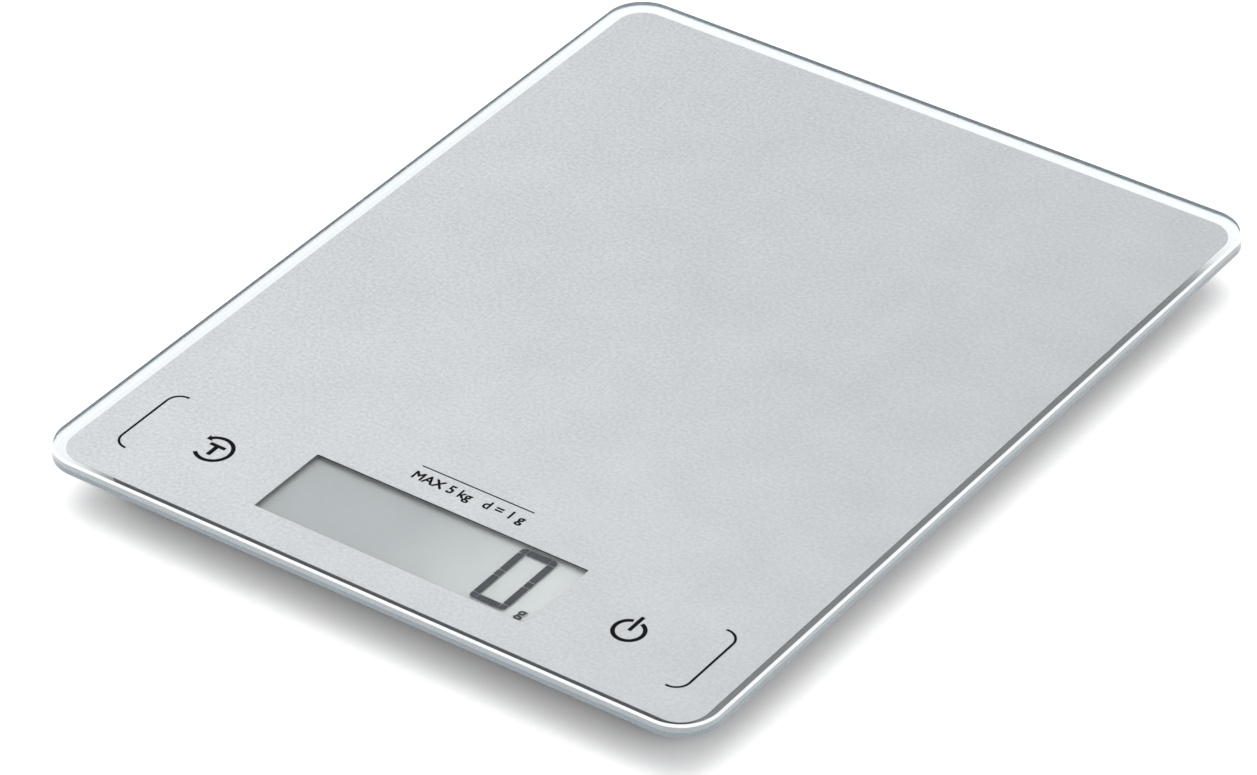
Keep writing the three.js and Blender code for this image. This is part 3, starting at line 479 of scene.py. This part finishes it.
ALLOY = finish("ground alloy", (0.48, 0.49, 0.5), (0.62, 0.63, 0.64), rough=0.4, metallic=1.0, grain=900.0)
COPPER = finish("copper foil", (0.6, 0.28, 0.14), (0.75, 0.4, 0.22), rough=0.4, metallic=1.0, grain=900.0)
WHITE_WIRE = finish("white insulation", (0.62, 0.62, 0.6), (0.72, 0.72, 0.7), rough=0.4, grain=1500.0)
BLACK_WIRE = finish("black insulation", (0.01, 0.01, 0.011), (0.02, 0.02, 0.021), rough=0.4, grain=1500.0)
RED_WIRE = finish("red insulation", (0.35, 0.02, 0.015), (0.5, 0.035, 0.02), rough=0.4, grain=1500.0)
print("materials:", len(bpy.data.materials))

# %% [markdown]
# ## The glass plate
# A sheet of float glass cut with round corners and ground along both rims. It starts as one flat
# rounded face, gets its thickness by an extrusion, and both rims are bevelled. The upper bevel is
# ground and frosted, so it catches the light as a white line; the lower one is polished.

# %% glass plate
GROUND_RIM = 0.6
POLISHED_RIM = 0.3
CORNER_RADIUS = 12.0
RIM_ANGLE = 1.0
LEVEL_NORMAL = 0.5
glass_low, glass_high = cad_box_mm("glass_plate")
glass_width = glass_high.x - glass_low.x
glass_length = glass_high.y - glass_low.y
glass_thickness = glass_high.z - glass_low.z


def glass_plate():
    """The plate, with its two faces, its ground rim and its polished edge in their own finishes."""
    bm = bmesh.new()
    faces = rounded_sheet(bm, glass_width, glass_length, CORNER_RADIUS, glass_low.z)
    raise_faces(bm, faces, glass_thickness)
    middle = (glass_low.z + glass_high.z) / 2
    for face in bm.faces:
        face.material_index = 0 if abs(face.normal.z) > LEVEL_NORMAL else 2
    for above, rim, material in ((True, GROUND_RIM, 1), (False, POLISHED_RIM, 2)):
        rims = [e for e in bm.edges
                if e.calc_face_angle(0) > RIM_ANGLE and (e.verts[0].co.z > middle) == above
                and abs(e.verts[0].co.z - e.verts[1].co.z) < TOUCHING]
        made = bmesh.ops.bevel(bm, geom=rims, offset=rim, offset_type="OFFSET", segments=1, profile=0.5,
                               affect="EDGES", material=material)
        print("rim faces:", len(made["faces"]))
    return as_piece("glass_platform", bm, [PLATE_GLASS, GROUND_EDGE, EDGE_GLASS],
                    replaces=["glass_plate"])


glass_plate()

# %% [markdown]
# ## The silver print
# The ink is laid on the underside of the glass, with a window left over the display. Ink wets the
# glass, so its face lies a hair inside the plate here: light meets no air gap between them. The
# outline and the window are two loops of edges filled as one face with a hole.

# %% silver print
WET = 0.03
PRINT_CORNER = 8.15
WINDOW_CORNER = 0.4
WINDOW_STEPS = 4
WINDOW_HALF = 43.5
WINDOW_FRONT = 15.2
WINDOW_BACK = 42.0
print_low, print_high = cad_box_mm("silver_backprint")
front_edge = glass_low.y
ink_top = glass_low.z + WET


def silver_print():
    """The ink sheet with its window."""
    bm = bmesh.new()
    rounded_sheet(bm, print_high.x - print_low.x, print_high.y - print_low.y, PRINT_CORNER, print_low.z)
    rounded_sheet(bm, 2 * WINDOW_HALF, WINDOW_BACK - WINDOW_FRONT, WINDOW_CORNER, print_low.z,
                  WINDOW_STEPS, front_edge + (WINDOW_FRONT + WINDOW_BACK) / 2)
    bmesh.ops.delete(bm, geom=list(bm.faces), context="FACES_ONLY")
    made = bmesh.ops.triangle_fill(bm, edges=list(bm.edges), use_beauty=True, use_dissolve=True)
    faces = [g for g in made["geom"] if isinstance(g, bmesh.types.BMFace)]
    raise_faces(bm, faces, ink_top - print_low.z)
    return as_piece("silver_print", bm, [SILVER_INK], replaces=["silver_backprint"])


silver_print()
print("ink face at", round(ink_top, 3), "mm")

# %% [markdown]
# ## Strokes
# Marks and display segments are made of flat strokes. A stroke is a small rectangle either drawn out
# straight or spun about a centre, so arcs are true arcs. Each mark is a hundredth of a millimetre thick.

# %% strokes
INK_STEP = 0.012
ARC_STEP = radians(5)
FEWEST_STEPS = 3


def bar(bm, x0, x1, y0, y1, bottom, top):
    """A straight stroke."""
    made = bmesh.ops.create_cube(bm, size=1)
    bmesh.ops.scale(bm, vec=(x1 - x0, y1 - y0, top - bottom), verts=made["verts"])
    bmesh.ops.translate(bm, vec=((x0 + x1) / 2, (y0 + y1) / 2, (bottom + top) / 2), verts=made["verts"])
    return made["verts"]


def arc(bm, x, y, radius, width, start, end, bottom, top):
    """A round stroke from one angle to another, spun from its end face."""
    made = bmesh.ops.create_grid(bm, x_segments=1, y_segments=1, size=0.5)
    bmesh.ops.rotate(bm, cent=(0, 0, 0), matrix=Matrix.Rotation(pi / 2, 3, "X"), verts=made["verts"])
    bmesh.ops.scale(bm, vec=(width, 1, top - bottom), verts=made["verts"])
    bmesh.ops.translate(bm, vec=(radius, 0, (bottom + top) / 2), verts=made["verts"])
    bmesh.ops.rotate(bm, cent=(0, 0, 0), matrix=Matrix.Rotation(start, 3, "Z"), verts=made["verts"])
    bmesh.ops.translate(bm, vec=(x, y, 0), verts=made["verts"])
    faces = unique(f for v in made["verts"] for f in v.link_faces)
    edges = unique(e for f in faces for e in f.edges)
    steps = max(FEWEST_STEPS, round(abs(end - start) / ARC_STEP))
    bmesh.ops.spin(bm, geom=made["verts"] + faces + edges, cent=(x, y, 0), axis=(0, 0, 1),
                   angle=end - start, steps=steps, use_merge=False)


def wedge(bm, corners, bottom, top):
    """A flat shape with a few straight sides."""
    face = bm.faces.new([bm.verts.new((x, y, bottom)) for x, y in corners])
    made = bmesh.ops.extrude_face_region(bm, geom=[face])
    verts = [g for g in made["geom"] if isinstance(g, bmesh.types.BMVert)]
    bmesh.ops.translate(bm, vec=(0, 0, top - bottom), verts=verts)


def mark(name, bm, material=BLACK_INK):
    """Finished strokes as one piece."""
    bmesh.ops.recalc_face_normals(bm, faces=bm.faces)
    return as_piece(name, bm, [material])


# %% [markdown]
# ## Touch key marks
# Black ink marks the two touch keys: a circular arrow round a T for tare at the left, the usual ring
# and bar at the right, and a thin bracket outside each. The arrow head is a triangle on the ring's end.

# %% touch key marks
INK = (ink_top, ink_top + INK_STEP)
RING_WIDTH = 1.2
TARE_X, TARE_Y = -67.05, front_edge + 28.3
TARE_RADIUS = 5.03
TARE_SPAN = radians(136)
ARROW_HEAD = ((5.2, radians(151)), (6.35, radians(135)), (3.65, radians(135)))
T_BAR_HALF, T_BAR_FRONT, T_BAR_BACK = 2.5, 0.95, 2.15
T_STEM_HALF, T_STEM_FRONT, T_STEM_BACK = 0.68, 2.8, 0.96
POWER_X, POWER_Y = 66.1, front_edge + 27.7
POWER_RADIUS = 4.12
POWER_GAP = radians(18)
POWER_BAR_HALF, POWER_BAR_REACH = 0.58, 6.5
BRACKET_WIDTH, BRACKET_RADIUS = 0.72, 4.0


def tare_mark():
    """A circular arrow round a T."""
    bm = bmesh.new()
    arc(bm, TARE_X, TARE_Y, TARE_RADIUS, RING_WIDTH, -TARE_SPAN, TARE_SPAN, *INK)
    head = [(TARE_X + radius * cos(angle), TARE_Y + radius * sin(angle)) for radius, angle in ARROW_HEAD]
    wedge(bm, head, *INK)
    bar(bm, TARE_X - T_BAR_HALF, TARE_X + T_BAR_HALF, TARE_Y + T_BAR_FRONT, TARE_Y + T_BAR_BACK, *INK)
    bar(bm, TARE_X - T_STEM_HALF, TARE_X + T_STEM_HALF, TARE_Y - T_STEM_FRONT, TARE_Y + T_STEM_BACK, *INK)
    mark("tare_mark", bm)


def power_mark():
    """A ring open at the back, with a bar through the opening."""
    bm = bmesh.new()
    arc(bm, POWER_X, POWER_Y, POWER_RADIUS, RING_WIDTH, pi / 2 + POWER_GAP, 5 * pi / 2 - POWER_GAP, *INK)
    bar(bm, POWER_X - POWER_BAR_HALF, POWER_X + POWER_BAR_HALF, POWER_Y, POWER_Y + POWER_BAR_REACH, *INK)
    mark("power_mark", bm)


def bracket(name, side, outer, front, back, reach):
    """A long line with both ends turned in."""
    bm = bmesh.new()
    width, radius = BRACKET_WIDTH, BRACKET_RADIUS
    x = side * (outer - width / 2)
    middle = side * (outer - width / 2 - radius)
    y0, y1 = front_edge + front + width / 2, front_edge + back - width / 2
    bar(bm, x - width / 2, x + width / 2, y0 + radius, y1 - radius, *INK)
    for y, sign in ((y0 + radius, -1), (y1 - radius, 1)):
        start, end = sorted((0 if side > 0 else pi * sign, sign * pi / 2))
        arc(bm, middle, y, radius, width, start, end, *INK)
        tick = side * (outer - reach)
        bar(bm, min(tick, middle), max(tick, middle), y + sign * radius - width / 2,
            y + sign * radius + width / 2, *INK)
    mark(name, bm)


tare_mark()
power_mark()
bracket("bracket_left", -1, 91.2, 15.3, 42.6, 4.7)
bracket("bracket_right", 1, 91.0, 14.9, 42.3, 5.0)
print("marks made")

# %% [markdown]
# ## Capacity line
# A scale states its largest load and its step. It is set in the plain built-in typeface under a thin
# rule. Each letter is struck five times a tenth of a millimetre apart, as an old typewriter makes bold,
# and each strike lies a hair above the last one, so that no two faces lie in one plane.

# %% capacity line
STRIKES = ((-1, -1), (1, -1), (-1, 1), (1, 1), (0, 0))
STRIKE_LIFT = 0.0004
CURVE_STEPS = 4
CAPACITY_SIZE = 4.6
CAPACITY_WEIGHT = 0.11
CAPACITY_Y = front_edge + 49.3
RULE_HALF = 18.0
RULE_FRONT, RULE_BACK = front_edge + 53.3, front_edge + 53.75


def lettering(name, text, size, x, y, level, thickness, material, weight):
    """Plain upright lettering centred on (x, y)."""
    curve = bpy.data.curves.new(name, "FONT")
    curve.body = text
    curve.size = size
    curve.align_x = "CENTER"
    curve.align_y = "CENTER"
    curve.extrude = thickness / 2
    curve.resolution_u = CURVE_STEPS
    shape = bpy.data.objects.new(name, curve)
    scene.collection.objects.link(shape)
    bpy.context.view_layer.update()
    bm = bmesh.new()
    for step, (right, up) in enumerate(STRIKES):
        old = set(bm.verts)
        bm.from_mesh(shape.to_mesh())
        struck = [v for v in bm.verts if v not in old]
        bmesh.ops.translate(bm, vec=(right * weight, up * weight, step * STRIKE_LIFT), verts=struck)
        shape.to_mesh_clear()
    bpy.data.objects.remove(shape)
    bmesh.ops.remove_doubles(bm, verts=bm.verts, dist=TOUCHING)
    bmesh.ops.recalc_face_normals(bm, faces=bm.faces)
    bmesh.ops.translate(bm, vec=(x, y, level + thickness / 2), verts=bm.verts)
    as_piece(name, bm, [material])


def capacity_line():
    """The line of text and the rule behind it."""
    lettering("capacity_text", "MAX 5 kg   d = 1 g", CAPACITY_SIZE, 0, CAPACITY_Y, ink_top, INK_STEP,
              BLACK_INK, CAPACITY_WEIGHT)
    bm = bmesh.new()
    bar(bm, -RULE_HALF, RULE_HALF, RULE_FRONT, RULE_BACK, *INK)
    mark("capacity_rule", bm)


capacity_line()

# %% [markdown]
# ## The display
# A reflective liquid-crystal display is a sandwich: a front glass sheet, a rear one, and a matt
# reflector behind. The dark segments lie between the two sheets, so they throw a faint shadow on the
# reflector. A nought is lit: bars, round-cornered corner pieces and a short joint halfway up each side,
# all parted by hairlines, with the unit letter beside it. DEEPER shifts them all for their depth below
# the print.

# %% display segments
rear_top = cad_box_mm("lcd_rear_glass")[1].z
SEGMENT_LIFT = 0.005
SEGMENT_TOP = 0.015
SEGMENT_THICKNESS = 0.01
SEGMENT_LEVELS = (rear_top + SEGMENT_LIFT, rear_top + SEGMENT_TOP)
DIGIT_LEFT, DIGIT_RIGHT = 24.35, 35.75
DIGIT_FRONT, DIGIT_BACK = 16.1, 40.1
STROKE = 2.15
HAIR = 0.24
CORNER = 1.3
CORNER_SEGMENTS = 6
JOINT_EXTRA = 0.2
NEAR_CORNER = 0.1
UPRIGHT = 0.001
DEEPER = Vector((-0.97, 1.35))
UNIT_X, UNIT_Y = 40.1, 18.0
UNIT_SIZE = 5.4
UNIT_WEIGHT = 0.09


def digit_nought():
    """Bars, corner pieces and middle joints of a lit nought."""
    bm = bmesh.new()
    x0, x1 = DIGIT_LEFT + DEEPER.x, DIGIT_RIGHT + DEEPER.x
    y0, y1 = front_edge + DIGIT_FRONT + DEEPER.y, front_edge + DIGIT_BACK + DEEPER.y
    middle = (y0 + y1) / 2
    joint = STROKE / 2 + JOINT_EXTRA
    for y in (y0, y1 - STROKE):
        bar(bm, x0 + STROKE + HAIR / 2, x1 - STROKE - HAIR / 2, y, y + STROKE, *SEGMENT_LEVELS)
    for x in (x0, x1 - STROKE):
        bar(bm, x, x + STROKE, y0 + STROKE + HAIR, middle - joint - HAIR / 2, *SEGMENT_LEVELS)
        bar(bm, x, x + STROKE, middle - joint + HAIR / 2, middle + joint - HAIR / 2, *SEGMENT_LEVELS)
        bar(bm, x, x + STROKE, middle + joint + HAIR / 2, y1 - STROKE - HAIR, *SEGMENT_LEVELS)
        for y in (y0, y1 - STROKE):
            block = bar(bm, x, x + STROKE - HAIR / 2, y, y + STROKE, *SEGMENT_LEVELS)
            outer_x = x if x == x0 else x + STROKE - HAIR / 2
            outer_y = y0 if y == y0 else y1
            upright = [e for v in block for e in v.link_edges
                       if abs(v.co.x - outer_x) < NEAR_CORNER and abs(v.co.y - outer_y) < NEAR_CORNER
                       and abs(e.verts[0].co.z - e.verts[1].co.z) > UPRIGHT]
            bmesh.ops.bevel(bm, geom=unique(upright), offset=CORNER, offset_type="OFFSET",
                            segments=CORNER_SEGMENTS, profile=0.5, affect="EDGES", material=-1)
    mark("digit_nought", bm, SEGMENT)


digit_nought()
lettering("unit_letter", "g", UNIT_SIZE, UNIT_X + DEEPER.x, front_edge + UNIT_Y + DEEPER.y,
          SEGMENT_LEVELS[0], SEGMENT_THICKNESS, SEGMENT, UNIT_WEIGHT)
print("segments at", [round(v, 3) for v in SEGMENT_LEVELS], "mm")

# %% [markdown]
# ## Pieces that keep their CAD shape
# The tray, the feet, the battery parts, the board and the load cells already have the right shape.
# A moulding never has knife-sharp edges, though, so each gets a copy of its CAD mesh: merged, its
# flat facets dissolved, and its edges broken with a small bevel.

# %% softened copies
MERGE = 0.001
FLAT = radians(0.5)
CRISP = radians(40)
EDGE_SEGMENTS = 2


def softened(node, material, edge):
    """A copy of a CAD node with merged points and slightly rounded edges."""
    bm = bmesh.new()
    bm.from_mesh(frame["nodes"][node].data)
    bmesh.ops.scale(bm, vec=(1 / MM, 1 / MM, 1 / MM), verts=bm.verts)
    bmesh.ops.remove_doubles(bm, verts=bm.verts, dist=MERGE)
    bmesh.ops.dissolve_limit(bm, angle_limit=FLAT, verts=bm.verts, edges=bm.edges)
    crisp = [e for e in bm.edges if len(e.link_faces) == 2 and e.calc_face_angle(0) > CRISP]
    bmesh.ops.bevel(bm, geom=crisp, offset=edge, offset_type="OFFSET", segments=EDGE_SEGMENTS,
                    profile=0.5, affect="EDGES", clamp_overlap=True, material=-1)
    for face in bm.faces:
        face.material_index = 0
    as_piece(node + "_finish", bm, [material], body=BODY_OF[node], replaces=[node])


CORNERS = [a + "_" + b for a in ("front", "rear") for b in ("left", "right")]
SOFTENED = {
    "base_tray": (TRAY_PLASTIC, "tray_plastic", 0.2),
    "battery_door": (TRAY_PLASTIC, "tray_plastic", 0.15),
    "lcd_holder": (WHITE_PLASTIC, "white_plastic", 0.1),
    "main_board": (LAMINATE, "board_laminate", 0.1),
    "controller_blob": (EPOXY, "black_epoxy", 0.2),
    "converter_chip": (EPOXY, "black_epoxy", 0.1),
    "coin_cell": (STEEL, "coin_steel", 0.1),
}
for corner in CORNERS:
    SOFTENED["foot_cup_" + corner] = (CUP_PLASTIC, "cup_plastic", 0.15)
    SOFTENED["foot_pad_" + corner] = (RUBBER, "foot_rubber", 0.1)
    SOFTENED["load_cell_" + corner] = (ALLOY, "cell_alloy", 0.1)
    SOFTENED["cell_clamp_" + corner] = (WHITE_PLASTIC, "white_plastic", 0.12)
for node, (material, slot, edge) in SOFTENED.items():
    softened(node, material, edge)
print("softened:", len(SOFTENED), "pieces")

# %% [markdown]
# ## CAD nodes that stay
# Sheets, screws, springs and leads are shown as they are, each with its finish.

# %% finishes on CAD nodes
KEPT = {
    "foam_tape": FOAM, "rating_label": LABEL_FILM, "lcd_front_glass": DISPLAY_GLASS,
    "lcd_rear_glass": DISPLAY_GLASS, "lcd_reflector": REFLECTOR, "zebra_strip": ZEBRA,
    "touch_foil": COPPER, "touch_spring": STEEL, "board_screw": STEEL, "clamp_screw": STEEL,
    "cell_lead": WHITE_WIRE, "minus_contact": STEEL, "plus_contact": STEEL,
    "battery_lead_minus": BLACK_WIRE, "battery_lead_plus": RED_WIRE,
}
for name, node in frame["nodes"].items():
    if node.hide_render:
        continue
    material = next(value for stem, value in KEPT.items() if name.startswith(stem))
    for slot in node.material_slots:
        slot.material = material
print("CAD nodes shown:", sum(not node.hide_render for node in frame["nodes"].values()))

# %% [markdown]
# ## Floor
# A white sweep, wide enough to fill the view from any side.

# %% floor
FLOOR_HALF = 6.0
FLOOR_CELLS = 8


def floor():
    """The sweep is not attached to any body of the scale."""
    bm = bmesh.new()
    bmesh.ops.create_grid(bm, x_segments=FLOOR_CELLS, y_segments=FLOOR_CELLS, size=FLOOR_HALF)
    mesh = bpy.data.meshes.new("floor")
    bm.to_mesh(mesh)
    bm.free()
    mesh.materials.append(finish("white sweep", (0.93, 0.93, 0.93), (0.95, 0.95, 0.95), rough=0.8,
                                 grain=300.0, bump=0.0))
    piece = bpy.data.objects.new("floor", mesh)
    scene.collection.objects.link(piece)


floor()

# %% [markdown]
# ## Lamps and sky
# Soft studio light: a large lamp overhead and behind on the left, and a pale sky all round that is a
# little darker near the horizon, so that glass edges have something to show. A black flag hangs where
# the plate mirrors the sky towards the camera, so that no glare veils the print.

# %% lamps and sky
LAMP_PLACE = (-0.5, 0.66, 2.5)
LAMP_AIM = (0, 0, 0)
LAMP_SIZE = (2.4, 2.4)
LAMP_WATTS = 42
SKY_TOP = (1.12, 1.125, 1.13)
SKY_HORIZON = (1.08, 1.085, 1.09)
SKY_TOP_HEIGHT = 0.5
FLAG_COLOUR = (0.08, 0.085, 0.09)
FLAG_TOWARDS = (-0.474, 0.657, 0.586)
FLAG_INNER = 0.975
FLAG_OUTER = 0.90


def lamp(name, place, aim, size, watts):
    """A rectangular softbox turned towards a point."""
    data = bpy.data.lights.new(name, "AREA")
    data.shape = "RECTANGLE"
    data.size, data.size_y = size
    data.energy = watts
    light = bpy.data.objects.new(name, data)
    light.location = place
    light.rotation_euler = (Vector(aim) - Vector(place)).to_track_quat("-Z", "Y").to_euler()
    scene.collection.objects.link(light)


def sky(top, horizon, flag):
    """A pale sky with a darker horizon and a black flag hung where the plate would mirror it."""
    world = bpy.data.worlds.new("studio")
    world.use_nodes = True
    scene.world = world
    tree = world.node_tree
    coords = tree.nodes.new("ShaderNodeTexCoord")
    split = tree.nodes.new("ShaderNodeSeparateXYZ")
    tree.links.new(coords.outputs["Generated"], split.inputs[0])
    ramp = tree.nodes.new("ShaderNodeValToRGB")
    ramp.color_ramp.elements[0].position = 0.0
    ramp.color_ramp.elements[0].color = (*horizon, 1)
    ramp.color_ramp.elements[1].position = SKY_TOP_HEIGHT
    ramp.color_ramp.elements[1].color = (*top, 1)
    tree.links.new(split.outputs["Z"], ramp.inputs["Fac"])
    towards = tree.nodes.new("ShaderNodeVectorMath")
    towards.operation = "DOT_PRODUCT"
    towards.inputs[1].default_value = FLAG_TOWARDS
    tree.links.new(coords.outputs["Generated"], towards.inputs[0])
    mix = tree.nodes.new("ShaderNodeMix")
    mix.data_type = "RGBA"
    mask = remap(tree, towards.outputs["Value"], FLAG_OUTER, FLAG_INNER)
    tree.links.new(mask, mix.inputs["Factor"])
    tree.links.new(ramp.outputs["Color"], mix.inputs["A"])
    mix.inputs["B"].default_value = (*flag, 1)
    tree.links.new(mix.outputs["Result"], tree.nodes["Background"].inputs["Color"])


lamp("overhead", LAMP_PLACE, LAMP_AIM, LAMP_SIZE, LAMP_WATTS)
sky(SKY_TOP, SKY_HORIZON, FLAG_COLOUR)
scene.view_settings.view_transform = "Standard"
